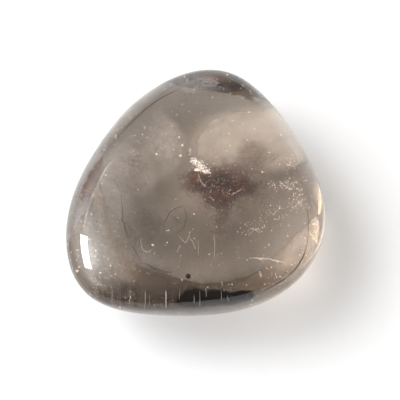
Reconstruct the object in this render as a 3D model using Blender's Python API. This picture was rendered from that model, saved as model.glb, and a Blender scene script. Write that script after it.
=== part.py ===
"""A tumbled smoky quartz stone: one pebble of worn, rounded faces that rests on a flat one.

The stone is a soft polyhedron. Each wear face is a plane at a distance from the stone's middle, and
tumbling has rounded every edge between two faces by the same amount. One flat is left underneath,
where the stone stands. Units are metres, +Z is up, and the front of the stone looks along -Y.
"""

import math

import bmesh
import bpy
from mathutils import Vector

MM = 0.001

# Each wear face: the compass angle it looks along (degrees from +X towards +Y), how far it is tilted
# up from level (degrees), and its distance from the stone's middle (millimetres).
FLANKS = {
    "left": (177.0, 4.0, 20.3),
    "back_left": (147.0, 10.0, 14.6),
    "back": (100.0, 5.0, 18.4),
    "back_right": (31.0, 10.0, 15.4),
    "front_right": (329.0, 0.0, 18.5),
    "front": (275.0, 0.0, 16.8),
    "front_left": (207.0, 0.0, 21.7),
}
SHOULDERS = {
    "crown": (0.0, 90.0, 8.8),
    "back_shoulder": (120.0, 55.0, 13.5),
    "right_shoulder": (25.0, 50.0, 13.6),
}
UNDERSIDES = {
    "underside": (0.0, -90.0, 9.0),
    "left_undercut": (184.0, -38.0, 13.8),
    "front_left_undercut": (250.0, -48.0, 13.2),
    "front_right_undercut": (300.0, -50.0, 14.2),
    "right_undercut": (350.0, -38.0, 15.8),
    "back_undercut": (80.0, -35.0, 14.8),
}

# How sharp the edges between faces are: a ball at 2, and an unworn block as it grows.
EDGE_SHARPNESS = 5.5

# The flat underneath: its height above the deepest point, and how gently the sides run into it.
REST_FLAT_RISE = 0.6 * MM
REST_FLAT_BLEND = 0.3 * MM

SPHERE_SUBDIVISIONS = 5

STONE_COLOR = (0.36, 0.30, 0.25, 1.0)
STONE_ROUGHNESS = 0.1


def clear_scene():
    """Remove every object the scene started with."""
    for item in list(bpy.data.objects):
        bpy.data.objects.remove(item, do_unlink=True)


def face_plane(azimuth, tilt, distance):
    """Return one wear face as its unit normal and its distance in metres."""
    turn = math.radians(azimuth)
    lift = math.radians(tilt)
    normal = Vector((
        math.cos(lift) * math.cos(turn),
        math.cos(lift) * math.sin(turn),
        math.sin(lift),
    ))
    return normal, distance * MM


def worn_radius(direction, planes):
    """Return the distance from the stone's middle to its skin along a unit direction."""
    total = 0.0
    for normal, distance in planes:
        reach = max(0.0, normal.dot(direction) / distance)
        total += reach ** EDGE_SHARPNESS
    return total ** (-1.0 / EDGE_SHARPNESS)


def flattened(height):
    """Return a height above the rest flat: zero on the flat, with a soft turn up into the sides."""
    if height <= -REST_FLAT_BLEND:
        return 0.0
    if height >= REST_FLAT_BLEND:
        return height
    return (height + REST_FLAT_BLEND) ** 2 / (4.0 * REST_FLAT_BLEND)


def middle_of(values):
    """Return the value half way between the smallest and the largest."""
    return (min(values) + max(values)) / 2.0


def make_stone_mesh():
    """Return the stone's closed mesh, standing on z = 0 with its plan box centred on the origin."""
    faces = [*FLANKS.values(), *SHOULDERS.values(), *UNDERSIDES.values()]
    planes = [face_plane(*face) for face in faces]
    form = bmesh.new()
    bmesh.ops.create_icosphere(form, subdivisions=SPHERE_SUBDIVISIONS, radius=1.0)
    for vertex in form.verts:
        direction = vertex.co.normalized()
        vertex.co = direction * worn_radius(direction, planes)
    deepest = min(vertex.co.z for vertex in form.verts)
    for vertex in form.verts:
        vertex.co.z = flattened(vertex.co.z - deepest - REST_FLAT_RISE)
    middle_x = middle_of([vertex.co.x for vertex in form.verts])
    middle_y = middle_of([vertex.co.y for vertex in form.verts])
    bmesh.ops.translate(form, verts=form.verts, vec=(-middle_x, -middle_y, 0.0))
    mesh = bpy.data.meshes.new("tumbled_stone")
    form.to_mesh(mesh)
    form.free()
    for polygon in mesh.polygons:
        polygon.use_smooth = True
    return mesh


def make_stone_material():
    """Return the stone's plain material: brown-grey quartz with a tumbled polish."""
    material = bpy.data.materials.new("smoky_quartz")
    material.use_nodes = True
    shader = material.node_tree.nodes["Principled BSDF"]
    shader.inputs["Base Color"].default_value = STONE_COLOR
    shader.inputs["Roughness"].default_value = STONE_ROUGHNESS
    shader.inputs["Metallic"].default_value = 0.0
    material.diffuse_color = STONE_COLOR
    return material


def main():
    """Build the stone."""
    clear_scene()
    stone = bpy.data.objects.new("tumbled_stone", make_stone_mesh())
    stone.data.materials.append(make_stone_material())
    bpy.context.scene.collection.objects.link(stone)


main()
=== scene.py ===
"""The looks of a tumbled smoky quartz stone: a polished skin, and the faults that show inside it.

The stone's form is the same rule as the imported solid's, a soft polyhedron of worn faces, worked out
finer and fitted to the solid's own box. Everything inside it is placed by millimetres right (x), back (y)
and up (z) from the middle of the underside of that box.
"""

import logging
import math
import random
from dataclasses import dataclass, field
from enum import Enum
from typing import Any

import bpy
from mathutils import Matrix, Vector


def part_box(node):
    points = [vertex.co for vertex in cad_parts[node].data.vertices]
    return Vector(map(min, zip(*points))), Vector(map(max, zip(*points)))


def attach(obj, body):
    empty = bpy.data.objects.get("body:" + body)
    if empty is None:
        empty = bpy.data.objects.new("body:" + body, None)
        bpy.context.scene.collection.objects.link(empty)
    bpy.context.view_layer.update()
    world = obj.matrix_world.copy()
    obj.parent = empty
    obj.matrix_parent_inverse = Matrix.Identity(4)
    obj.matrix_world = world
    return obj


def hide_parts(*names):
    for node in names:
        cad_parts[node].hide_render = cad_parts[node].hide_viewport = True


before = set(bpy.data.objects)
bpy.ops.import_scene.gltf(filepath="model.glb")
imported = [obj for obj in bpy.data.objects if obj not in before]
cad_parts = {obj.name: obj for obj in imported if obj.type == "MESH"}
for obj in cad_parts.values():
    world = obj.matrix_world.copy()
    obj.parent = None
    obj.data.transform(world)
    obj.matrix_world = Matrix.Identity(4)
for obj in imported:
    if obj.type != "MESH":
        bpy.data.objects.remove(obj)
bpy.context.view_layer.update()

MM = 0.001
FULL_TURN = 6.28
NODE = "tumbled_stone"
BODY = "root"

log = logging.getLogger("stone")

Triple = tuple[float, float, float]
Colour = tuple[float, float, float]
Lines = tuple[tuple[tuple[Triple, ...], float], ...]


# --- Node trees ---


class Wire:
    """One output socket of a node, with the arithmetic that the trees here are written in."""

    def __init__(self, tree: "Tree", socket: bpy.types.NodeSocket) -> None:
        """Hold a socket of a tree.

        Args:
            tree: the tree that the socket's node is in.
            socket: the output socket.
        """
        self.tree = tree
        self.socket = socket

    def of(self, output: str | int) -> "Wire":
        """Return another output of the same node."""
        return Wire(self.tree, self.socket.node.outputs[output])

    def __add__(self, other: "Wire | float") -> "Wire":
        """Return this value plus another."""
        return self.tree.maths("ADD", self, other)

    __radd__ = __add__

    def __sub__(self, other: "Wire | float") -> "Wire":
        """Return this value less another."""
        return self.tree.maths("SUBTRACT", self, other)

    def __rsub__(self, other: float) -> "Wire":
        """Return a number less this value."""
        return self.tree.maths("SUBTRACT", other, self)

    def __mul__(self, other: "Wire | float") -> "Wire":
        """Return this value times another."""
        return self.tree.maths("MULTIPLY", self, other)

    __rmul__ = __mul__

    def __truediv__(self, other: "Wire | float") -> "Wire":
        """Return this value over another."""
        return self.tree.maths("DIVIDE", self, other)

    def __rtruediv__(self, other: float) -> "Wire":
        """Return a number over this value."""
        return self.tree.maths("DIVIDE", other, self)

    def __pow__(self, other: "Wire | float") -> "Wire":
        """Return this value to a power."""
        return self.tree.maths("POWER", self, other)

    def at_least(self, floor: "Wire | float") -> "Wire":
        """Return this value, or a floor where it is lower."""
        return self.tree.maths("MAXIMUM", self, floor)

    def at_most(self, ceiling: "Wire | float") -> "Wire":
        """Return this value, or a ceiling where it is higher."""
        return self.tree.maths("MINIMUM", self, ceiling)

    def step(self, low: float, high: float) -> "Wire":
        """Return a smooth rise of this value.

        Args:
            low: where the rise starts, at 0.
            high: where it ends, at 1.

        Returns:
            The wire of the rise.
        """
        settings = {"interpolation_type": "SMOOTHSTEP"}
        values = {"Value": self, "From Min": low, "From Max": high}
        return self.tree.add("ShaderNodeMapRange", settings, values, "Result")


class Tree:
    """A node tree, with one method that adds any node to it."""

    def __init__(self, tree: bpy.types.NodeTree) -> None:
        """Hold a Blender node tree."""
        self.tree = tree

    def add(
        self,
        kind: str,
        settings: dict[str, Any] | None = None,
        values: dict[str | int, Any] | None = None,
        output: str | int = 0,
    ) -> Wire:
        """Add a node, set it up and connect it.

        Args:
            kind: the node's type.
            settings: the node's own properties, set first.
            values: the inputs' values or wires, by name or number.
            output: the output to return.

        Returns:
            The wire of one output.
        """
        node = self.tree.nodes.new(kind)
        for name, value in (settings or {}).items():
            setattr(node, name, value)
        for name, value in (values or {}).items():
            if isinstance(value, Wire):
                self.tree.links.new(value.socket, node.inputs[name])
            else:
                node.inputs[name].default_value = value
        return Wire(self, node.outputs[output] if len(node.outputs) else node.inputs[0])

    def maths(self, operation: str, a: Wire | float, b: Wire | float) -> Wire:
        """Return the result of a Math node on two values."""
        return self.add("ShaderNodeMath", {"operation": operation}, {0: a, 1: b})

    def vector(
        self, operation: str, a: Wire | Triple, b: Wire | Triple = (0.0, 0.0, 0.0), output: str = "Vector"
    ) -> Wire:
        """Return the result of a Vector Math node on one or two vectors."""
        return self.add("ShaderNodeVectorMath", {"operation": operation}, {0: a, 1: b}, output)

    def scaled(self, vector: Wire | Triple, by: Wire | float) -> Wire:
        """Return a vector times a value."""
        return self.add("ShaderNodeVectorMath", {"operation": "SCALE"}, {0: vector, "Scale": by})

    def parts(self, vector: Wire) -> tuple[Wire, Wire, Wire]:
        """Return a vector's x, y and z."""
        split = self.add("ShaderNodeSeparateXYZ", values={0: vector})
        return split, split.of(1), split.of(2)

    def joined(self, x: Wire | float, y: Wire | float, z: Wire | float) -> Wire:
        """Return the vector of three values."""
        return self.add("ShaderNodeCombineXYZ", values={0: x, 1: y, 2: z})

    def blend(self, share: Wire | float, a: Wire | Colour, b: Wire | Colour) -> Wire:
        """Blend two colours.

        Args:
            share: how much of the second colour shows, from 0 to 1.
            a: the first colour.
            b: the second colour.

        Returns:
            The wire of the blended colour.
        """
        a = a if isinstance(a, Wire) else (*a, 1.0)
        b = b if isinstance(b, Wire) else (*b, 1.0)
        return self.add("ShaderNodeMix", {"data_type": "RGBA"}, {"Factor": share, 6: a, 7: b}, 2)

    def noise(self, place: Wire, grain: float, detail: float = 2.0, roughness: float = 0.5) -> Wire:
        """Return noise from 0 to 1, in grains of about the given size in metres."""
        values = {"Vector": place, "Scale": 1.0 / grain, "Detail": detail, "Roughness": roughness}
        return self.add("ShaderNodeTexNoise", values=values)

    def chance(self, low: Wire | Triple | float, high: Wire | Triple | float, seed: Wire) -> Wire:
        """Return a random number for each point, or a random vector.

        Args:
            low: the lowest value; a triple asks for a vector.
            high: the highest value.
            seed: the seed.

        Returns:
            The wire of the random values.
        """
        vector = isinstance(low, tuple)
        settings = {"data_type": "FLOAT_VECTOR" if vector else "FLOAT"}
        first = 0 if vector else 2
        values = {first: low, first + 1: high, "Seed": seed}
        return self.add("FunctionNodeRandomValue", settings, values, 0 if vector else 1)

    def ball(self, subdivisions: int) -> Wire:
        """Return a closed ball of radius 1."""
        return self.add("GeometryNodeMeshIcoSphere", values={"Radius": 1.0, "Subdivisions": subdivisions})

    def moved(self, mesh: Wire, **moves: Wire) -> Wire:
        """Return a mesh with its points put at a Position or moved by an Offset."""
        return self.add("GeometryNodeSetPosition", values={"Geometry": mesh, **moves})

    def smoothed(self, mesh: Wire) -> Wire:
        """Return a mesh that is shaded smooth."""
        return self.add("GeometryNodeSetShadeSmooth", values={0: mesh})


class GrownPiece:
    """A Geometry Nodes tree with named inputs, and the plain mesh that it grows."""

    SOCKETS = {float: "NodeSocketFloat", int: "NodeSocketInt", tuple: "NodeSocketVector"}

    def __init__(self, name: str, sizes: dict[str, float | int | tuple]) -> None:
        """Make an empty tree with one input for each size.

        Args:
            name: the piece's name.
            sizes: the tree's inputs, by name, with their values.
        """
        self.name = name
        self.group = bpy.data.node_groups.new(name, "GeometryNodeTree")
        self.tree = Tree(self.group)
        self.sizes = sizes
        self.identifiers: dict[str, str] = {}
        for size, value in sizes.items():
            kind = self.SOCKETS[type(value)]
            socket = self.group.interface.new_socket(size, in_out="INPUT", socket_type=kind)
            self.identifiers[size] = socket.identifier
        self.group.interface.new_socket("Geometry", in_out="OUTPUT", socket_type="NodeSocketGeometry")
        self.inputs = self.group.nodes.new("NodeGroupInput")

    def size(self, name: str) -> Wire:
        """Return the wire of one named input."""
        return Wire(self.tree, self.inputs.outputs[name])

    def finish(self, geometry: Wire, material: bpy.types.Material) -> bpy.types.Object:
        """End the tree, grow the piece and turn it into a plain mesh.

        Args:
            geometry: what the tree has made.
            material: the piece's material.

        Returns:
            The piece, with no modifier left on it.
        """
        real = self.tree.add("GeometryNodeRealizeInstances", values={0: geometry})
        dressed = self.tree.add("GeometryNodeSetMaterial", values={0: real, "Material": material})
        end = self.group.nodes.new("NodeGroupOutput")
        self.group.links.new(dressed.socket, end.inputs[0])
        seed = bpy.data.objects.new(self.name + "_seed", bpy.data.meshes.new(self.name + "_seed"))
        bpy.context.scene.collection.objects.link(seed)
        modifier = seed.modifiers.new("grow", "NODES")
        modifier.node_group = self.group
        for name, value in self.sizes.items():
            modifier[self.identifiers[name]] = value
        graph = bpy.context.evaluated_depsgraph_get()
        mesh = bpy.data.meshes.new_from_object(seed.evaluated_get(graph), depsgraph=graph)
        bpy.data.objects.remove(seed)
        bpy.data.node_groups.remove(self.group)
        return placed(self.name, mesh, material)


def placed(name: str, mesh: bpy.types.Mesh, material: bpy.types.Material) -> bpy.types.Object:
    """Put a finished mesh in the scene as a piece that rides on the stone's body.

    Args:
        name: the piece's name.
        mesh: its mesh, in its place.
        material: its only material.

    Returns:
        The piece.
    """
    mesh.name = name
    mesh.materials.clear()
    mesh.materials.append(material)
    piece = bpy.data.objects.new(name, mesh)
    bpy.context.scene.collection.objects.link(piece)
    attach(piece, BODY)
    mesh.calc_loop_triangles()
    log.info("%s: %d triangles", name, len(mesh.loop_triangles))
    return piece


# --- The stone's form ---


@dataclass(frozen=True)
class WearFace:
    """A face that tumbling has worn: where it looks, in degrees, and how far out it is, in millimetres."""

    azimuth: float
    tilt: float
    distance: float

    def normal(self) -> Vector:
        """Return the way the face looks."""
        turn, lift = math.radians(self.azimuth), math.radians(self.tilt)
        return Vector((math.cos(lift) * math.cos(turn), math.cos(lift) * math.sin(turn), math.sin(lift)))


def flanks() -> tuple[WearFace, ...]:
    """Lay out the faces round the stone's sides.

    Returns:
        The faces, from the left flank round by the back.
    """
    return (
        WearFace(177, 4, 20.3),
        WearFace(147, 10, 14.6),
        WearFace(100, 5, 18.4),
        WearFace(31, 10, 15.4),
        WearFace(329, 0, 18.5),
        WearFace(275, 0, 16.8),
        WearFace(207, 0, 21.7),
    )


def shoulders() -> tuple[WearFace, ...]:
    """Return the top face and the two that round it off."""
    return (WearFace(0, 90, 8.8), WearFace(120, 55, 13.5), WearFace(25, 50, 13.6))


def undersides() -> tuple[WearFace, ...]:
    """Lay out the faces underneath.

    Returns:
        The bottom face and the undercuts round it.
    """
    return (
        WearFace(0, -90, 9.0),
        WearFace(184, -38, 13.8),
        WearFace(250, -48, 13.2),
        WearFace(300, -50, 14.2),
        WearFace(350, -38, 15.8),
        WearFace(80, -35, 14.8),
    )


@dataclass(frozen=True)
class StoneForm:
    """The rule of the stone's shape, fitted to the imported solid's box."""

    low: Vector
    high: Vector
    faces: tuple[WearFace, ...] = field(default_factory=lambda: flanks() + shoulders() + undersides())
    edge_sharpness: float = 5.5
    rest_rise: float = 0.6 * MM
    rest_blend: float = 0.3 * MM

    def sizes(self) -> dict[str, float | tuple]:
        """Name the sizes that a tree needs to grow the form.

        Returns:
            The tree's inputs, by name.
        """
        return {
            "Box Low": tuple(self.low),
            "Box High": tuple(self.high),
            "Edge Sharpness": self.edge_sharpness,
            "Rest Rise": self.rest_rise,
            "Rest Blend": self.rest_blend,
        }

    def grow(self, piece: GrownPiece, subdivisions: int) -> Wire:
        """Add the nodes that make the form as a closed mesh.

        Args:
            piece: the tree to add to, which has the inputs that sizes() names.
            subdivisions: how fine the mesh is.

        Returns:
            The wire of the mesh.
        """
        tree = piece.tree
        ball = tree.ball(subdivisions)
        place = tree.add("GeometryNodeInputPosition")
        way = tree.vector("NORMALIZE", place)
        sharpness = piece.size("Edge Sharpness")
        total: Wire | float = 0.0
        for face in self.faces:
            toward = face.normal() / (face.distance * MM)
            reach = tree.vector("DOT_PRODUCT", way, tuple(toward), "Value").at_least(0.0)
            total = reach**sharpness + total
        radius = total ** (-1.0 / sharpness)
        worn = tree.moved(ball, Position=tree.scaled(way, radius))
        box = tree.add("GeometryNodeBoundBox", values={0: worn})
        deepest = tree.parts(box.of("Min"))[2]
        x, y, z = tree.parts(place)
        blend = piece.size("Rest Blend")
        height = z - deepest - piece.size("Rest Rise")
        turning = height.at_most(blend).at_least(-1.0 * blend) + blend
        lifted = turning * turning / (4.0 * blend) + (height - blend).at_least(0.0)
        rested = tree.moved(worn, Position=tree.joined(x, y, lifted))
        return self._fitted(piece, rested, place)

    def _fitted(self, piece: GrownPiece, mesh: Wire, place: Wire) -> Wire:
        """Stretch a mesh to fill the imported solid's box exactly.

        Args:
            piece: the tree to add to.
            mesh: the mesh.
            place: its points' places.

        Returns:
            The wire of the stretched mesh.
        """
        tree = piece.tree
        box = tree.add("GeometryNodeBoundBox", values={0: mesh})
        low, high = box.of("Min"), box.of("Max")
        target_low, target_high = piece.size("Box Low"), piece.size("Box High")
        share = tree.vector("DIVIDE", tree.vector("SUBTRACT", place, low), tree.vector("SUBTRACT", high, low))
        spread = tree.vector("MULTIPLY", share, tree.vector("SUBTRACT", target_high, target_low))
        return tree.moved(mesh, Position=tree.vector("ADD", spread, target_low))

    def at(self, x: float, y: float, z: float) -> Vector:
        """Return the place x, y, z millimetres from the middle of the box's underside."""
        middle = (self.low + self.high) / 2
        return Vector((middle.x + x * MM, middle.y + y * MM, self.low.z + z * MM))


# --- Finishes ---


class Finish:
    """A finish: a Principled material whose patterns read the piece's own Object coordinates."""

    name: str

    def start(self) -> tuple[bpy.types.Material, Tree, bpy.types.Node, Wire]:
        """Make an empty material.

        Returns:
            The material, its tree, its Principled node and its Object coordinates.
        """
        material = bpy.data.materials.new(self.name)
        material.use_nodes = True
        tree = Tree(material.node_tree)
        shader = material.node_tree.nodes["Principled BSDF"]
        place = tree.add("ShaderNodeTexCoord", output="Object")
        return material, tree, shader, place

    @staticmethod
    def feed(tree: Tree, shader: bpy.types.Node, **wires: Wire) -> None:
        """Connect wires to the shader's inputs, with spaces written as underscores."""
        for name, wire in wires.items():
            tree.tree.links.new(wire.socket, shader.inputs[name.replace("_", " ")])


@dataclass(frozen=True)
class PolishedQuartz(Finish):
    """Clear smoky quartz under a tumbled polish, with a faint uneven tint and a slight ripple."""

    name: str = "polished_smoky_quartz"
    refraction: float = 1.544
    roughness: float = 0.02
    smoke: Colour = (0.58, 0.465, 0.34)
    smoke_per_metre: float = 52.0
    clarity: float = 0.99
    clear_tint: Colour = (0.84, 0.83, 0.82)
    dull_tint: Colour = (0.76, 0.74, 0.72)
    tint_grain: float = 6.0 * MM
    ripple_grain: float = 2.5 * MM
    ripple: float = 0.02

    def material(self) -> bpy.types.Material:
        """Make the material of the stone's skin and inside.

        Returns:
            The material.
        """
        material, tree, shader, place = self.start()
        shader.inputs["Transmission Weight"].default_value = self.clarity
        shader.inputs["IOR"].default_value = self.refraction
        shader.inputs["Roughness"].default_value = self.roughness
        patches = tree.noise(place, self.tint_grain, 3.0).step(0.35, 0.75)
        tint = tree.blend(patches, self.clear_tint, self.dull_tint)
        ripples = tree.noise(place, self.ripple_grain, 2.0)
        values = {"Height": ripples, "Strength": self.ripple, "Distance": 1.0 * MM}
        bump = tree.add("ShaderNodeBump", values=values)
        self.feed(tree, shader, Base_Color=tint, Normal=bump)
        values = {"Color": (*self.smoke, 1.0), "Density": self.smoke_per_metre}
        volume = tree.add("ShaderNodeVolumeAbsorption", values=values)
        end = material.node_tree.nodes["Material Output"]
        tree.tree.links.new(volume.socket, end.inputs["Volume"])
        return material


@dataclass(frozen=True)
class ChipFinish(Finish):
    """A fault's solid flecks: one colour turning into another from fleck to fleck, with a painted glow:
    emission in their own colour, so that they shine as if they caught light.
    """

    name: str
    light: Colour
    dark: Colour
    roughness: float = 0.45
    painted_glow: float = 0.0
    grain: float = 0.8 * MM

    def material(self) -> bpy.types.Material:
        """Make the material of the flecks.

        Returns:
            The material.
        """
        material, tree, shader, place = self.start()
        share = tree.noise(place, self.grain, 1.0).step(0.35, 0.65)
        colour = tree.blend(share, self.light, self.dark)
        shader.inputs["Roughness"].default_value = self.roughness
        # Painted light: the flecks emit their own colour, as if they caught light.
        shader.inputs["Emission Strength"].default_value = self.painted_glow
        self.feed(tree, shader, Base_Color=colour, Emission_Color=colour)
        return material


@dataclass(frozen=True)
class Puff:
    """One soft lobe of a cloud: its middle and half widths, in millimetres."""

    middle: Triple
    reach: Triple


def lobes(level: float, depth: float, *plans: tuple[float, float, float, float]) -> tuple[Puff, ...]:
    """Return lobes that lie at one level.

    Args:
        level: the lobes' height above the rest flat, in millimetres.
        depth: their half height.
        plans: each lobe's middle x and y and its half widths along x and y.

    Returns:
        The lobes.
    """
    return tuple(Puff((x, y, level), (wide, long, depth)) for x, y, wide, long in plans)


@dataclass(frozen=True)
class CloudFinish(Finish):
    """A veil that is dense in the middle of its lobes, fades at the edges and is broken up by grain."""

    name: str
    form: StoneForm
    puffs: tuple[Puff, ...]
    light: Colour
    dark: Colour
    strength: float
    grain: float = 1.2 * MM
    raggedness: float = 0.6
    graininess: float = 0.55
    coarse: float = 1.7
    fine: float = 0.35
    roughness: float = 0.6

    def material(self) -> bpy.types.Material:
        """Make the material of the veil.

        Returns:
            The material.
        """
        material, tree, shader, place = self.start()
        cover: Wire | None = None
        wobble = tree.noise(place, self.grain * self.coarse, 3.0) - 0.5
        for puff in self.puffs:
            away = tree.vector("SUBTRACT", place, tuple(self.form.at(*puff.middle)))
            reach = tuple(1.0 / (size * MM) for size in puff.reach)
            spread = tree.vector("MULTIPLY", away, reach)
            length = tree.vector("LENGTH", spread, output="Value")
            lobe = 1.0 - (length + wobble * self.raggedness).step(0.25, 1.0)
            cover = lobe if cover is None else cover.at_least(lobe)
        specks = tree.noise(place, self.grain * self.fine, 4.0, 0.65).step(0.30, 0.70)
        alpha = cover * (specks * self.graininess + (1.0 - self.graininess)) * self.strength
        share = tree.noise(place, self.grain, 2.0).step(0.35, 0.65)
        shader.inputs["Roughness"].default_value = self.roughness
        self.feed(tree, shader, Base_Color=tree.blend(share, self.light, self.dark), Alpha=alpha)
        return material


@dataclass(frozen=True)
class SkinPatch:
    """One soft patch of colour, used for stains and for painted shade and light: its middle and half widths
    in millimetres, its turn about z and its look.
    """

    middle: Triple
    reach: Triple
    colour: Colour
    strength: float
    turn: float = 0.0
    softness: float = 0.7
    # glow is painted light: an emission in the patch's own colour.
    glow: float = 0.0
    stripes: float = 0.0


@dataclass(frozen=True)
class SkinPatchFinish(Finish):
    """Soft patches of stain, painted shade and painted light on a surface that is clear everywhere else."""

    name: str
    form: StoneForm
    skin_patches: tuple[SkinPatch, ...]
    haze: Colour = (0.50, 0.46, 0.42)
    haze_strength: float = 0.0
    grain: float = 1.5 * MM
    raggedness: float = 0.5
    fine: float = 0.25
    roughness: float = 0.6

    def material(self) -> bpy.types.Material:
        """Make the material of the surface with its stains, painted shade and painted light.

        Returns:
            The material.
        """
        material, tree, shader, place = self.start()
        wobble = (tree.noise(place, self.grain, 3.0) - 0.5) * self.raggedness
        specks = tree.noise(place, self.grain * self.fine, 3.0).step(0.30, 0.70)
        colour: Wire | Colour = self.haze
        glow: Wire | Colour = (0.0, 0.0, 0.0)
        alpha = 0.7 * self.haze_strength + 0.6 * self.haze_strength * specks
        for skin_patch in self.skin_patches:
            cover = self._cover(tree, place, skin_patch, wobble)
            share = cover * (0.7 + 0.3 * specks)
            full = (3.0 * cover).at_most(1.0)
            colour = tree.blend(full, colour, skin_patch.colour)
            # Painted light: a patch with a glow emits its own colour.
            glow = tree.blend(full, glow, tuple(part * skin_patch.glow for part in skin_patch.colour))
            alpha = alpha.at_least((share * skin_patch.strength).at_most(1.0))
        shader.inputs["Roughness"].default_value = self.roughness
        shader.inputs["Specular IOR Level"].default_value = 0.0
        shader.inputs["Emission Strength"].default_value = 1.0
        self.feed(tree, shader, Base_Color=colour, Emission_Color=glow, Alpha=alpha)
        return material

    def _cover(self, tree: Tree, place: Wire, skin_patch: SkinPatch, wobble: Wire) -> Wire:
        """Work out how much of a patch shows at a place.

        Args:
            tree: the material's tree.
            place: the place.
            skin_patch: the patch.
            wobble: the unevenness of its edge.

        Returns:
            The wire of its share, from 0 to 1.
        """
        away = tree.vector("SUBTRACT", place, tuple(self.form.at(*skin_patch.middle)))
        settings = {"rotation_type": "Z_AXIS"}
        turned = tree.add("ShaderNodeVectorRotate", settings, {0: away, "Angle": -math.radians(skin_patch.turn)})
        spread = tree.vector("MULTIPLY", turned, tuple(1.0 / (size * MM) for size in skin_patch.reach))
        length = tree.vector("LENGTH", spread, output="Value")
        cover = 1.0 - (length + wobble).step(1.0 - skin_patch.softness, 1.0)
        if not skin_patch.stripes:
            return cover
        across = tree.parts(place)[0]
        bars = tree.noise(tree.joined(across, 0.0, 0.0), 0.7 * MM, 3.0).step(0.46, 0.60)
        return cover * (1.0 - bars * skin_patch.stripes)


# --- The stone and its faults ---


@dataclass
class Stone:
    """The stone's polished body: the form, with the shallow dents that tumbling leaves."""

    form: StoneForm
    subdivisions: int = 7
    dent_depth: float = 0.05 * MM
    dent_grain: float = 5.0 * MM
    clear_of_rest: float = 1.5 * MM

    def build(self, finish: PolishedQuartz) -> bpy.types.Object:
        """Make the body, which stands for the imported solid.

        Args:
            finish: the skin and inside.

        Returns:
            The body.
        """
        sizes = self.form.sizes() | {"Dent Depth": self.dent_depth, "Dent Grain": self.dent_grain}
        piece = GrownPiece("polished_stone", sizes)
        tree = piece.tree
        mesh = self.form.grow(piece, self.subdivisions)
        place = tree.add("GeometryNodeInputPosition")
        values = {"Vector": place, "Scale": 1.0 / piece.size("Dent Grain"), "Detail": 1.0}
        wave = tree.add("ShaderNodeTexNoise", values=values)
        height = tree.parts(place)[2] - tree.parts(piece.size("Box Low"))[2]
        free = height.step(0.0, self.clear_of_rest)
        depth = (wave - 0.5) * 2.0 * free * piece.size("Dent Depth")
        dented = tree.moved(mesh, Offset=tree.scaled(tree.add("GeometryNodeInputNormal"), depth))
        body = piece.finish(tree.smoothed(dented), finish.material())
        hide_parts(NODE)
        return body


@dataclass
class SpeckCloud:
    """Flecks scattered through soft lobes, closer together in the middle of each."""

    name: str
    form: StoneForm
    puffs: tuple[Puff, ...]
    count: int
    smallest: float
    largest: float
    seed: int
    crowding: float = 0.6
    squash: float = 0.5

    def build(self, finish: ChipFinish) -> bpy.types.Object:
        """Make the flecks.

        Args:
            finish: the flecks' finish.

        Returns:
            The flecks, as one piece.
        """
        sizes = {
            "Count Per Lobe": self.count,
            "Smallest": self.smallest * MM,
            "Largest": self.largest * MM,
            "Seed": self.seed,
        }
        piece = GrownPiece(self.name, sizes)
        tree = piece.tree
        speck = tree.ball(subdivisions=1)
        join = piece.group.nodes.new("GeometryNodeJoinGeometry")
        for number, puff in enumerate(self.puffs):
            lobe = self._lobe(piece, speck, puff, number)
            piece.group.links.new(lobe.socket, join.inputs[0])
        return piece.finish(Wire(tree, join.outputs[0]), finish.material())

    def _lobe(self, piece: GrownPiece, speck: Wire, puff: Puff, number: int) -> Wire:
        """Scatter the flecks of one lobe.

        Args:
            piece: the tree to add to.
            speck: the mesh of one fleck.
            puff: the lobe.
            number: which lobe it is, so that each one differs.

        Returns:
            The wire of the lobe's flecks.
        """
        tree = piece.tree
        seed = piece.size("Seed") + 10.0 * number
        way = tree.vector("NORMALIZE", tree.chance((-1,) * 3, (1,) * 3, seed + 0))
        out = tree.scaled(way, tree.chance(0.0, 1.0, seed + 1) ** self.crowding)
        reach = tuple(size * MM for size in puff.reach)
        place = tree.vector("MULTIPLY", out, reach)
        place = tree.vector("ADD", place, tuple(self.form.at(*puff.middle)))
        values = {"Count": piece.size("Count Per Lobe"), "Position": place}
        points = tree.add("GeometryNodePoints", values=values)
        size = tree.chance(piece.size("Smallest"), piece.size("Largest"), seed + 2)
        shape = tree.scaled(tree.chance((self.squash,) * 3, (1.0,) * 3, seed + 3), size)
        turned = tree.chance((0.0,) * 3, (FULL_TURN,) * 3, seed + 4)
        values = {"Points": points, "Instance": speck, "Rotation": turned, "Scale": shape}
        return tree.add("GeometryNodeInstanceOnPoints", values=values)


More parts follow.
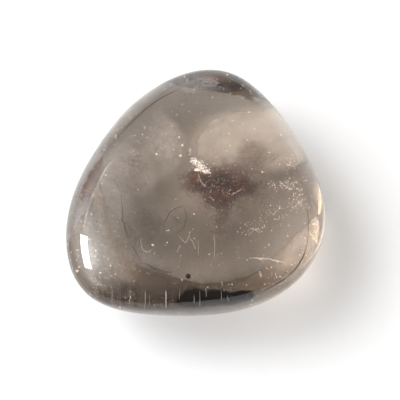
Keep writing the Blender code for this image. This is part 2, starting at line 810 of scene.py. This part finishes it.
@dataclass
class SkinDust:
    """Pits and dust scattered a little way under the whole skin."""

    name: str
    form: StoneForm
    per_square_metre: float
    shallow: float
    deep: float
    smallest: float
    largest: float
    seed: int
    clear_of_rest: float = 2.0

    def build(self, finish: ChipFinish) -> bpy.types.Object:
        """Make the dust.

        Args:
            finish: the dust's finish.

        Returns:
            The dust, as one piece.
        """
        sizes = self.form.sizes() | {
            "Per Square Metre": self.per_square_metre,
            "Shallow": self.shallow * MM,
            "Deep": self.deep * MM,
            "Smallest": self.smallest * MM,
            "Largest": self.largest * MM,
            "Seed": self.seed,
        }
        piece = GrownPiece(self.name, sizes)
        tree = piece.tree
        skin = self.form.grow(piece, subdivisions=4)
        values = {"Mesh": skin, "Density": piece.size("Per Square Metre"), "Seed": piece.size("Seed")}
        points = tree.add("GeometryNodeDistributePointsOnFaces", values=values)
        depth = tree.chance(piece.size("Shallow"), piece.size("Deep"), piece.size("Seed") + 1.0)
        sunk = tree.moved(points, Offset=tree.scaled(points.of("Normal"), -1.0 * depth))
        height = tree.parts(tree.add("GeometryNodeInputPosition"))[2]
        base = tree.parts(piece.size("Box Low"))[2] + self.clear_of_rest * MM
        low = tree.maths("LESS_THAN", height, base)
        kept = tree.add("GeometryNodeDeleteGeometry", values={"Geometry": sunk, "Selection": low})
        share = tree.chance(0.0, 1.0, piece.size("Seed") + 2.0) ** 3.0
        size = piece.size("Smallest") + share * (piece.size("Largest") - piece.size("Smallest"))
        values = {"Points": kept, "Instance": tree.ball(subdivisions=1), "Scale": size}
        return piece.finish(tree.add("GeometryNodeInstanceOnPoints", values=values), finish.material())


@dataclass
class SmokeSheet:
    """A thin wavy lens, cut to shape by its finish, which is clear outside its cloud."""

    name: str
    form: StoneForm
    middle: Triple
    reach: Triple
    tilt: Triple = (0.0, 0.0, 0.0)
    waviness: float = 0.4
    wave_grain: float = 4.0
    seed: float = 0.0

    def build(self, finish: CloudFinish) -> bpy.types.Object:
        """Make the sheet.

        Args:
            finish: the cloud that shows on it.

        Returns:
            The sheet.
        """
        sizes = {
            "Half Size": tuple(size * MM for size in self.reach),
            "Middle": tuple(self.form.at(*self.middle)),
            "Tilt": tuple(math.radians(turn) for turn in self.tilt),
            "Waviness": self.waviness * MM,
        }
        piece = GrownPiece(self.name, sizes)
        tree = piece.tree
        place = tree.add("GeometryNodeInputPosition")
        spread = tree.vector("MULTIPLY", place, piece.size("Half Size"))
        thin = tree.moved(tree.ball(subdivisions=5), Position=spread)
        x, y, _ = tree.parts(place)
        flat = tree.joined(x, y, self.seed * MM)
        lift = (tree.noise(flat, self.wave_grain * MM) - 0.5) * 2.0 * piece.size("Waviness")
        wavy = tree.moved(thin, Offset=tree.joined(0.0, 0.0, lift))
        values = {"Geometry": wavy, "Translation": piece.size("Middle"), "Rotation": piece.size("Tilt")}
        laid = tree.add("GeometryNodeTransform", values=values)
        return piece.finish(tree.smoothed(laid), finish.material())


@dataclass
class SkinPatchShell:
    """A skin just under the polished one, clear but for the stains, painted shade and painted light in its
    finish.
    """

    name: str
    form: StoneForm
    depth: float

    def build(self, finish: SkinPatchFinish) -> bpy.types.Object:
        """Make the shell.

        Args:
            finish: the stains, painted shade and painted light.

        Returns:
            The shell.
        """
        piece = GrownPiece(self.name, self.form.sizes() | {"Depth": self.depth * MM})
        tree = piece.tree
        skin = self.form.grow(piece, subdivisions=6)
        inward = tree.scaled(tree.add("GeometryNodeInputNormal"), -1.0 * piece.size("Depth"))
        return piece.finish(tree.smoothed(tree.moved(skin, Offset=inward)), finish.material())


@dataclass
class HairlineSet:
    """Fine healed cracks of one finish, and lines of painted caustic, highlight and shade: tapering threads,
    closed at both ends.

    Each line is the few points that a thread passes and its half thickness, in millimetres.
    """

    name: str
    form: StoneForm
    lines: Lines
    seed: int
    sides: int = 5
    steps: int = 10
    tremble: float = 0.05
    blunt_end: float = 0.15
    fullness: float = 0.6
    aside: Triple = (0.3, 0.2, 1.0)

    def build(self, finish: ChipFinish) -> bpy.types.Object:
        """Make the threads.

        Args:
            finish: the threads' finish.

        Returns:
            The threads, as one piece.
        """
        chance = random.Random(self.seed)
        points: list[Vector] = []
        faces: list[tuple[int, ...]] = []
        for route, thickness in self.lines:
            self._add_thread(self._path(route, chance), thickness * MM, points, faces)
        mesh = bpy.data.meshes.new(self.name)
        mesh.from_pydata(points, [], faces)
        mesh.shade_smooth()
        return placed(self.name, mesh, finish.material())

    def _path(self, route: tuple[Triple, ...], chance: random.Random) -> list[Vector]:
        """Draw a smooth, slightly shaky path through a line's points.

        Args:
            route: the line's points.
            chance: the source of the shake.

        Returns:
            The places along the path.
        """
        knots = [self.form.at(*point) for point in route]
        knots = [2 * knots[0] - knots[1], *knots, 2 * knots[-1] - knots[-2]]
        path = []
        for a, b, c, d in zip(knots, knots[1:], knots[2:], knots[3:]):
            for step in range(self.steps):
                t = step / self.steps
                curve = 2 * b + (c - a) * t + (2 * a - 5 * b + 4 * c - d) * t**2
                path.append((curve + (3 * b - 3 * c + d - a) * t**3) / 2)
        path.append(knots[-2])
        shake = self.tremble * MM
        return [point + Vector([chance.uniform(-shake, shake) for _ in range(3)]) for point in path]

    def _add_thread(
        self, path: list[Vector], thickness: float, points: list[Vector], faces: list[tuple[int, ...]]
    ) -> None:
        """Add one thread to the lists.

        Args:
            path: the places along the thread.
            thickness: its half thickness at its thickest.
            points: the points made so far, which grow.
            faces: the faces made so far, which grow.
        """
        first = len(points)
        for number, middle in enumerate(path):
            along = path[min(number + 1, len(path) - 1)] - path[max(number - 1, 0)]
            side = along.cross(Vector(self.aside)).normalized()
            belly = math.sin(math.pi * number / (len(path) - 1)) ** self.fullness
            radius = thickness * (self.blunt_end + (1.0 - self.blunt_end) * belly)
            for turn in range(self.sides):
                angle = 2 * math.pi * turn / self.sides
                points.append(middle + Matrix.Rotation(angle, 3, along) @ side * radius)
        for number in range(len(path) - 1):
            for turn in range(self.sides):
                a = first + number * self.sides + turn
                b = first + number * self.sides + (turn + 1) % self.sides
                faces.append((a, b, b + self.sides, a + self.sides))
        faces.append(tuple(first + turn for turn in reversed(range(self.sides))))
        last = first + (len(path) - 1) * self.sides
        faces.append(tuple(last + turn for turn in range(self.sides)))


class Fleck(Enum):
    """The kinds of solid fleck that show inside the stone, as a light and a dark colour."""

    WHITE = ((0.94, 0.91, 0.88), (0.78, 0.72, 0.67))
    ROSY = ((1.0, 0.94, 0.90), (0.85, 0.77, 0.71))
    RUST = ((0.11, 0.058, 0.045), (0.05, 0.03, 0.024))
    IRON = ((0.03, 0.022, 0.02), (0.01, 0.008, 0.008))
    SHADE = ((0.13, 0.10, 0.08), (0.08, 0.06, 0.05))
    # Painted light: the glowing colour of the caustic slivers at the right rim.
    CAUSTIC_CREAM = ((1.0, 0.83, 0.60), (0.95, 0.70, 0.46))
    PALE = ((0.90, 0.84, 0.79), (0.66, 0.60, 0.56))

    def finish(self, painted_glow: float = 0.0) -> ChipFinish:
        """Return the finish of this kind of fleck, with a painted glow: emission that makes it shine as if it
        caught light.
        """
        light, dark = self.value
        return ChipFinish(self.name.lower() + "_flecks", light, dark, painted_glow=painted_glow)


@dataclass
class Faults:
    """Everything that shows inside the stone."""

    form: StoneForm

    def build(self) -> None:
        """Make every fault, from the middle outwards."""
        self._add_smoke()
        self._add_fracture()
        self._add_veil()
        self._add_specks()
        self._add_hairlines()
        self._add_dust()
        self._add_skin_patches()

    def _add_smoke(self) -> None:
        """Add the reddish-brown cloud in the middle with its grains, and the three wide soft clouds."""
        heart = lobes(
            10.0,
            3.0,
            (0.7, 0.5, 3.2, 2.3),
            (3.2, 0.3, 3.6, 2.5),
            (2.7, -1.4, 2.9, 3.0),
            (4.9, 0.1, 2.5, 1.9),
        )
        drift = lobes(9.0, 3.0, (3.2, 0.6, 5.6, 4.6), (6.2, 3.4, 3.2, 3.6), (3.1, -4.2, 1.3, 2.2))
        rust, umber = (0.22, 0.095, 0.062), (0.11, 0.05, 0.036)
        dense = CloudFinish("rust_cloud", self.form, heart, rust, umber, 0.95, raggedness=0.9)
        thin = CloudFinish("rust_drift", self.form, drift, rust, umber, 0.38, raggedness=1.2)
        SmokeSheet("smoke_heart", self.form, (3.0, -0.8, 10.2), (6.5, 6.5, 0.05)).build(dense)
        sheet = SmokeSheet("smoke_drift", self.form, (3.6, 0.6, 9.0), (8.0, 8.0, 0.05), seed=9.0)
        sheet.build(thin)
        milk = lobes(6.5, 3.0, (4.7, 6.5, 6.6, 5.0), (8.6, 4.8, 3.2, 3.0))
        bloom = lobes(6.5, 3.0, (-3.6, 6.0, 3.6, 4.6), (-7.8, 2.0, 3.8, 4.6))
        cream, sand = (1.0, 0.97, 0.92), (0.96, 0.90, 0.83)
        lilac, ash = (0.88, 0.82, 0.79), (0.60, 0.55, 0.52)
        warm = CloudFinish("warm_milk", self.form, milk, cream, sand, 0.70, 3.0 * MM, 0.9, 0.15)
        grey = CloudFinish("grey_bloom", self.form, bloom, lilac, ash, 0.45, 2.2 * MM, 1.1, 0.35)
        place = (5.0, 5.4, 6.5)
        SmokeSheet("milk_right", self.form, place, (8.2, 6.0, 0.05), (0, 0, -15), seed=17.0).build(warm)
        place = (-5.0, 3.8, 6.5)
        SmokeSheet("bloom_left", self.form, place, (5.8, 7.2, 0.05), (0, 0, -35), seed=23.0).build(grey)
        dusk = lobes(6.4, 3.0, (-0.6, -6.2, 9.6, 5.0), (-6.4, -5.4, 4.6, 4.2))
        brown, drab = (0.13, 0.088, 0.062), (0.08, 0.055, 0.042)
        shade = CloudFinish("brown_dusk", self.form, dusk, brown, drab, 0.26, grain=3.0 * MM, graininess=0.15)
        SmokeSheet("dusk_front", self.form, (-1.2, -3.8, 6.8), (11.0, 8.4, 0.05), seed=31.0).build(shade)
        cores = tuple(Puff(puff.middle, (puff.reach[0], puff.reach[1], 1.2)) for puff in heart[:3])
        SpeckCloud("rust_grains", self.form, cores, 420, 0.03, 0.10, seed=3).build(Fleck.RUST.finish())
        SpeckCloud("pale_grains", self.form, cores, 90, 0.03, 0.08, seed=5).build(Fleck.ROSY.finish(0.4))

    def _add_fracture(self) -> None:
        """Add the white broken fleck above the cloud, with the thread that runs down from it."""
        shards = (
            Puff((-0.4, 3.0, 12.0), (0.55, 0.40, 0.4)),
            Puff((0.2, 2.5, 12.0), (0.75, 0.55, 0.4)),
            Puff((0.7, 1.9, 12.0), (0.85, 0.50, 0.4)),
            Puff((1.2, 1.5, 12.0), (0.65, 0.40, 0.4)),
            Puff((0.0, 1.7, 12.0), (0.40, 0.15, 0.3)),
        )
        cloud = SpeckCloud("white_fracture", self.form, shards, 75, 0.03, 0.13, seed=11, squash=0.15)
        cloud.build(Fleck.WHITE.finish(0.8))
        tail = (Puff((-0.8, 4.0, 12.2), (0.2, 0.6, 0.3)), Puff((0.2, 2.4, 12.0), (1.2, 1.0, 0.4)))
        chips = SpeckCloud("fracture_chips", self.form, tail, 26, 0.03, 0.09, seed=13, squash=0.3)
        chips.build(Fleck.PALE.finish(0.4))

    def _add_veil(self) -> None:
        """Add the veil of rosy bubbles that fans out towards the right."""
        veil = (
            Puff((11.4, -0.2, 12.0), (1.8, 1.6, 0.5)),
            Puff((12.0, -2.4, 11.4), (1.4, 1.6, 0.5)),
            Puff((9.8, -0.2, 11.4), (1.8, 1.2, 0.5)),
            Puff((9.0, -3.6, 10.0), (2.6, 2.0, 0.6)),
            Puff((6.8, -5.2, 9.0), (2.0, 1.6, 0.6)),
            Puff((11.0, 2.6, 12.0), (2.2, 1.8, 0.5)),
        )
        cloud = SpeckCloud("veil", self.form, veil, 60, 0.03, 0.10, seed=21, crowding=0.7)
        cloud.build(Fleck.ROSY.finish(0.6))

    def _add_specks(self) -> None:
        """Add the white bubbles, alone and in their loose groups, and the dark grains."""
        bright = (
            Puff((-2.1, 5.6, 14.0), (0.12, 0.12, 0.1)),
            Puff((-1.7, 4.5, 14.0), (0.05, 0.05, 0.05)),
            Puff((-2.0, 3.1, 14.0), (0.10, 0.10, 0.1)),
            Puff((-4.9, 3.5, 13.0), (0.05, 0.05, 0.05)),
            Puff((-0.3, -4.5, 14.0), (0.12, 0.12, 0.1)),
            Puff((-3.5, -6.6, 14.0), (0.22, 0.12, 0.1)),
            Puff((-5.3, -8.5, 14.0), (0.12, 0.08, 0.1)),
            Puff((7.9, 1.2, 13.0), (0.05, 0.05, 0.05)),
            Puff((-9.6, 5.8, 13.0), (0.2, 0.3, 0.1)),
        )
        SpeckCloud("bright_bubbles", self.form, bright, 3, 0.09, 0.18, seed=31).build(Fleck.WHITE.finish(1.0))
        loose = (
            Puff((-12.9, 0.6, 13.0), (0.5, 0.9, 0.3)),
            Puff((-13.7, -2.9, 13.0), (0.5, 0.7, 0.3)),
            Puff((-7.4, 2.6, 13.0), (1.6, 1.2, 0.4)),
            Puff((-4.0, 4.6, 13.0), (1.6, 2.0, 0.4)),
            Puff((-11.4, -13.0, 12.5), (2.4, 0.9, 0.4)),
            Puff((-5.2, -11.9, 14.5), (2.4, 0.6, 0.4)),
            Puff((9.4, -11.2, 12.5), (0.8, 0.5, 0.4)),
        )
        SpeckCloud("loose_bubbles", self.form, loose, 14, 0.03, 0.085, seed=37).build(Fleck.PALE.finish(0.5))
        dark = (
            Puff((-1.0, -12.9, 16.4), (0.10, 0.10, 0.03)),
            Puff((-13.7, -4.8, 13.8), (0.05, 0.05, 0.05)),
            Puff((-12.1, -5.5, 14.5), (0.05, 0.05, 0.05)),
        )
        SpeckCloud("iron_grains", self.form, dark, 5, 0.08, 0.13, seed=41).build(Fleck.IRON.finish())

    def _add_hairlines(self) -> None:
        """Add the pale and dark threads, with the painted highlight and shade lines among them, and the
        slivers of painted caustic at the right rim.
        """
        streaks = HairlineSet("front_threads", self.form, self._front_lines(), 57, sides=4, tremble=0.03)
        streaks.build(Fleck.PALE.finish(0.12))
        HairlineSet("rim_cracks_painted_caustic", self.form, self._caustic_sliver_lines(), 59).build(Fleck.CAUSTIC_CREAM.finish(1.0))
        HairlineSet("pale_threads", self.form, self._pale_lines(), 51).build(Fleck.PALE.finish(0.2))
        HairlineSet("dark_threads_and_painted_edges", self.form, self._dark_lines_and_painted_edges(), 53).build(Fleck.SHADE.finish())

    @staticmethod
    def _pale_lines() -> Lines:
        """Lay out the healed cracks of the middle, and the painted highlight along the left ledge: a pale
        line where the refracted edge shows bright.

        Returns:
            The lines.
        """
        return (
            (((6.3, -10.0, 14.0), (8.4, -10.1, 14.0), (10.5, -10.4, 14.0)), 0.10),
            (((6.9, -9.9, 14.0), (8.2, -10.4, 13.8)), 0.04),
            (((2.1, -6.6, 12.0), (2.2, -8.2, 12.0), (2.1, -9.8, 12.0)), 0.028),
            (((0.2, -7.4, 12.0), (0.2, -9.3, 12.0)), 0.022),
            (((-2.2, -7.0, 13.0), (-1.4, -7.9, 13.0), (-1.0, -7.2, 13.0), (-0.7, -6.4, 13.0)), 0.028),
            (((-1.0, -7.2, 13.0), (-0.4, -8.0, 13.0), (-0.1, -8.8, 13.0)), 0.028),
            (((-1.9, -8.2, 13.0), (-2.4, -9.2, 13.0)), 0.03),
            (((-6.8, -7.2, 12.0), (-6.7, -8.4, 12.0), (-6.0, -8.9, 12.0), (-5.5, -8.5, 12.0)), 0.035),
            (((0.2, 1.2, 12.0), (0.5, 0.2, 12.0), (1.2, -0.6, 12.0)), 0.045),
            (((4.2, -1.6, 11.5), (5.6, -0.6, 11.5)), 0.032),
            # Painted highlight: the pale line along the left ledge.
            (((-10.2, 2.2, 15.3), (-11.4, 0.6, 15.4), (-13.2, -4.3, 15.6), (-13.7, -6.9, 15.6)), 0.032),
        )

    @staticmethod
    def _front_lines() -> Lines:
        """Lay out the upright streaks of the front flank, just under the skin.

        Returns:
            The lines.
        """
        return (
            (((-3.7, -14.6, 15.8), (-3.7, -15.1, 15.5), (-3.7, -15.7, 14.9), (-3.7, -16.1, 13.9)), 0.070),
            (((-10.2, -14.4, 15.6), (-10.2, -15.3, 14.6)), 0.018),
            (((-8.0, -14.7, 15.7), (-8.1, -15.8, 14.4)), 0.016),
            (((-6.2, -14.6, 15.8), (-6.2, -15.6, 15.0), (-6.3, -16.1, 13.9)), 0.030),
            (((-5.7, -15.0, 15.6), (-5.7, -15.9, 14.4)), 0.014),
            (((-2.0, -14.4, 15.9), (-2.1, -15.5, 15.0)), 0.020),
            (((-0.3, -15.0, 15.4), (-0.3, -15.7, 14.5)), 0.026),
            (((0.4, -14.5, 15.7), (0.4, -15.3, 15.0), (0.4, -15.9, 13.7)), 0.018),
            (((1.1, -14.2, 15.8), (1.2, -15.1, 15.1)), 0.020),
            (((3.0, -14.4, 15.5), (3.0, -15.3, 14.5)), 0.018),
            (((3.7, -14.8, 15.0), (3.9, -15.3, 14.0)), 0.018),
        )

    @staticmethod
    def _caustic_sliver_lines() -> Lines:
        """Lay out the slivers inside the right rim: cracks that carry a painted caustic, glowing cream where
        light gathers.

        Returns:
            The lines.
        """
        return (
            (((14.8, 1.1, 9.9), (14.9, -1.4, 11.3), (14.7, -3.8, 12.5)), 0.40),
            (((14.5, -5.2, 12.4), (14.2, -6.4, 12.6), (14.3, -7.2, 12.3)), 0.12),
            (((13.5, -5.2, 12.6), (14.4, -5.0, 12.5)), 0.08),
            (((13.2, -6.2, 12.6), (13.8, -6.9, 12.7), (14.4, -7.4, 12.2)), 0.10),
        )

    @staticmethod
    def _dark_lines_and_painted_edges() -> Lines:
        """Lay out the tangle in the middle, and the dark lines of painted shade that follow the rim and the
        outline of the flat underside, where refracted edges show through the stone.

        Returns:
            The lines.
        """
        return (
            (((-1.6, -3.2, 13.0), (-3.0, -3.8, 13.0), (-3.8, -5.2, 13.0), (-3.9, -6.6, 13.0)), 0.06),
            (((-1.6, -3.2, 13.0), (-1.2, -4.6, 13.0), (-1.7, -6.2, 13.0), (-2.9, -6.8, 13.0)), 0.055),
            (((-2.9, -4.6, 13.0), (-2.2, -5.2, 13.0), (-2.6, -6.0, 13.0)), 0.055),
            (((1.4, -6.4, 13.0), (2.9, -6.8, 13.0)), 0.04),
            (((5.0, 3.6, 13.0), (6.0, 4.2, 13.0)), 0.04),
            # Painted shade from here on: dark lines along the rim and round the flat underside, where
            # refracted edges show dark.
            (((-1.4, 12.6, 14.0), (-3.8, 11.3, 14.0), (-6.3, 9.4, 14.0), (-9.5, 5.8, 14.2)), 0.09),
            (((-10.5, 2.4, 15.1), (-11.7, 0.8, 15.1), (-13.5, -4.2, 15.3), (-14.0, -7.3, 15.3)), 0.07),
            (((7.0, -13.9, 13.4), (10.5, -12.1, 13.6), (12.5, -9.8, 13.6), (13.1, -8.4, 13.8)), 0.09),
            (((-9.1, 1.2, 1.5), (-9.0, -2.5, 1.5), (-8.3, -5.0, 1.5), (-6.9, -7.5, 1.5)), 0.06),
            (((-6.9, -7.5, 1.5), (-4.8, -8.2, 1.5), (-2.8, -8.4, 1.5)), 0.04),
            (((13.1, -8.4, 13.8), (13.4, -6.8, 14.0), (13.5, -4.4, 14.1), (13.1, -2.5, 14.0)), 0.045),
        )

    def _add_dust(self) -> None:
        """Add the pits and dust under the skin."""
        dust = SkinDust("pale_dust", self.form, 4.0e5, 0.7, 2.6, 0.03, 0.10, seed=61)
        dust.build(Fleck.PALE.finish(0.8))
        dark_mark = SkinDust("dark_dust", self.form, 1.6e5, 0.7, 2.2, 0.03, 0.10, seed=67)
        dark_mark.build(Fleck.SHADE.finish())

    def _add_skin_patches(self) -> None:
        """Add the stains, painted shade and painted light just under the skin."""
        olive, dark_mark, rust = (0.07, 0.06, 0.045), (0.018, 0.010, 0.007), (0.16, 0.10, 0.08)
        umber = (0.09, 0.064, 0.05)
        skin_patches = (
            # Painted light: a pale beige patch on the left undercut that lightens the dark loops of internal
            # reflection.
            SkinPatch((-12.0, -6.0, 3.2), (6.0, 9.0, 4.5), (0.90, 0.84, 0.76), 0.62, softness=0.45),
            # Painted shade: a grey band along the left rim, inside the ledge.
            SkinPatch((-13.9, -1.9, 13.6), (1.9, 7.5, 4.0), (0.31, 0.28, 0.27), 0.72, turn=-20.0, softness=0.2),
            # Painted light: a glowing cream caustic at the right rim, where light through the stone gathers.
            SkinPatch((14.8, -1.6, 11.0), (1.3, 4.2, 3.4), (1.0, 0.76, 0.52), 0.6, glow=0.35),
            SkinPatch((12.2, -7.0, 13.4), (4.5, 5.5, 3.5), (0.26, 0.18, 0.11), 0.24, softness=0.8),
            # Painted reflection: a pale lilac band along the back rim.
            SkinPatch((0.6, 13.0, 14.4), (5.0, 2.2, 3.0), (0.56, 0.51, 0.50), 0.5),
            SkinPatch((6.2, 11.2, 13.6), (1.5, 0.8, 2.0), olive, 0.85, turn=-35.0),
            SkinPatch((3.6, 12.7, 14.2), (1.3, 0.25, 2.0), dark_mark, 0.8),
            SkinPatch((5.0, 13.0, 13.6), (4.0, 1.4, 2.5), rust, 0.26, turn=-25.0),
            SkinPatch((-12.6, -0.2, 14.8), (1.1, 4.0, 2.6), rust, 1.0, turn=-22.0),
            # Painted shade from here to the last striped patch: the dark band along the front flank, where
            # the flank faces a dark room; the stripes stand in for the streaks across it.
            SkinPatch((-6.0, -14.6, 14.4), (8.8, 2.8, 2.4), umber, 0.95, softness=0.5, stripes=0.3),
            SkinPatch((-5.4, -12.7, 16.2), (3.6, 1.5, 1.6), (0.11, 0.075, 0.058), 0.60, softness=0.9),
            SkinPatch((-0.4, -15.0, 14.6), (2.7, 3.0, 1.4), dark_mark, 1.8, softness=0.4, stripes=0.25),
            SkinPatch((2.4, -15.0, 14.4), (2.8, 3.0, 1.4), dark_mark, 1.8, softness=0.4, stripes=0.25),
            SkinPatch((5.0, -14.8, 13.9), (2.5, 3.0, 1.4), dark_mark, 1.8, softness=0.4, stripes=0.25),
            SkinPatch((-1.0, -12.9, 16.2), (0.32, 0.32, 0.9), (0.008, 0.006, 0.005), 1.5, softness=0.3),
        )
        finish = SkinPatchFinish("skin_stains_and_painted_light", self.form, skin_patches, haze_strength=0.015)
        SkinPatchShell("skin_stains_and_painted_light", self.form, 0.5).build(finish)


# --- The studio ---


@dataclass(frozen=True)
class Glow:
    """A soft patch of the room's light: where it is in degrees, how tight it is, and its light."""

    azimuth: float
    elevation: float
    tightness: float
    colour: Colour


@dataclass
class Studio:
    """The white table, the window, the room's light and the camera."""

    form: StoneForm
    table_half: float = 0.13
    table_gap: float = 0.08 * MM
    table_colour: Colour = (0.86, 0.86, 0.86)
    table_roughness: float = 0.9
    table_shine: float = 0.1
    window_azimuth: float = 174.0
    window_elevation: float = 48.0
    window_distance: float = 0.5
    window_size: tuple[float, float] = (0.23, 0.13)
    window_watts: float = 4.0
    window_colour: Colour = (0.96, 0.98, 1.0)
    room: Colour = (0.06, 0.06, 0.06)
    camera_elevation: float = 70.0
    camera_distance: float = 0.30
    view_width: float = 50.6 * MM
    nearest_seen: float = 0.01
    aim: Triple = (0.43, 0.05, 7.66)
    bounces: int = 20
    clear_bounces: int = 32
    glows: tuple[Glow, ...] = (
        Glow(172, 35, 14, (4.10, 4.15, 4.25)),
        Glow(166, 60, 70, (8.00, 7.90, 7.70)),
        Glow(210, 38, 70, (2.40, 2.45, 2.60)),
        Glow(130, 28, 60, (1.50, 1.45, 1.40)),
        Glow(2, 33, 14, (1.70, 1.72, 1.75)),
        Glow(45, 8, 14, (0.70, 0.60, 0.50)),
        Glow(97, 3, 60, (0.80, 0.75, 0.70)),
    )

    @staticmethod
    def way(azimuth: float, elevation: float) -> Vector:
        """Return the unit vector towards a place in the room."""
        return WearFace(azimuth, elevation, 1.0).normal()

    def build(self) -> None:
        """Set up everything round the stone."""
        self._lay_table()
        self._light_room()
        self._hang_window()
        self._set_camera()
        scene = bpy.context.scene
        scene.view_settings.view_transform = "Standard"
        scene.view_settings.look = "None"
        scene.cycles.max_bounces = self.bounces
        scene.cycles.transmission_bounces = self.bounces
        scene.cycles.transparent_max_bounces = self.clear_bounces

    def _lay_table(self) -> None:
        """Lay the plain white table just under the stone."""
        half, level = self.table_half, self.form.low.z - self.table_gap
        corners = [(-half, -half, level), (half, -half, level), (half, half, level), (-half, half, level)]
        mesh = bpy.data.meshes.new("table")
        mesh.from_pydata(corners, [], [(0, 1, 2, 3)])
        material = bpy.data.materials.new("white_table")
        material.use_nodes = True
        shader = material.node_tree.nodes["Principled BSDF"]
        shader.inputs["Base Color"].default_value = (*self.table_colour, 1.0)
        shader.inputs["Roughness"].default_value = self.table_roughness
        shader.inputs["Specular IOR Level"].default_value = self.table_shine
        mesh.materials.append(material)
        table = bpy.data.objects.new("table", mesh)
        bpy.context.scene.collection.objects.link(table)

    def _light_room(self) -> None:
        """Light the room from all round, brighter by the window and darker at the back and front."""
        world = bpy.data.worlds.new("room")
        world.use_nodes = True
        world.node_tree.nodes.clear()
        bpy.context.scene.world = world
        tree = Tree(world.node_tree)
        way = tree.add("ShaderNodeTexCoord", output="Generated")
        light: Wire | Triple = self.room
        for glow in self.glows:
            toward = tuple(self.way(glow.azimuth, glow.elevation))
            facing = tree.vector("DOT_PRODUCT", way, toward, "Value") * 0.5 + 0.5
            patch = tree.scaled(glow.colour, facing.at_least(0.0) ** glow.tightness)
            light = tree.vector("ADD", patch, light)
        room = tree.add("ShaderNodeBackground", values={"Color": light, "Strength": 1.0})
        backdrop = tree.add("ShaderNodeBackground", values={"Color": (1.0, 1.0, 1.0, 1.0)})
        seen = tree.add("ShaderNodeLightPath", output="Is Camera Ray")
        mixed = tree.add("ShaderNodeMixShader", values={0: seen, 1: room, 2: backdrop})
        tree.add("ShaderNodeOutputWorld", values={"Surface": mixed})

    def _hang_window(self) -> None:
        """Hang the window: a soft rectangle of light at the left."""
        light = bpy.data.lights.new("window", "AREA")
        light.shape = "RECTANGLE"
        light.size, light.size_y = self.window_size
        light.energy = self.window_watts
        light.color = self.window_colour
        window = bpy.data.objects.new("window", light)
        window.location = self.way(self.window_azimuth, self.window_elevation) * self.window_distance
        window.rotation_euler = (-window.location).to_track_quat("-Z", "Y").to_euler()
        window.visible_camera = False
        window.visible_diffuse = False
        window.visible_transmission = False
        bpy.context.scene.collection.objects.link(window)

    def _set_camera(self) -> None:
        """Look down at the stone from the front."""
        data = bpy.data.cameras.new("camera")
        data.lens = data.sensor_width * self.camera_distance / self.view_width
        data.clip_start = self.nearest_seen
        camera = bpy.data.objects.new("camera", data)
        back = self.way(270.0, self.camera_elevation)
        camera.location = self.form.at(*self.aim) + back * self.camera_distance
        camera.rotation_euler = (-back).to_track_quat("-Z", "Y").to_euler()
        bpy.context.scene.collection.objects.link(camera)
        bpy.context.scene.camera = camera


def main() -> None:
    """Build the stone, its faults and the studio, in that order."""
    logging.basicConfig(level=logging.INFO, format="%(name)s: %(message)s")
    low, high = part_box(NODE)
    form = StoneForm(low, high)
    Stone(form).build(PolishedQuartz())
    Faults(form).build()
    Studio(form).build()


if __name__ == "__main__":
    main()
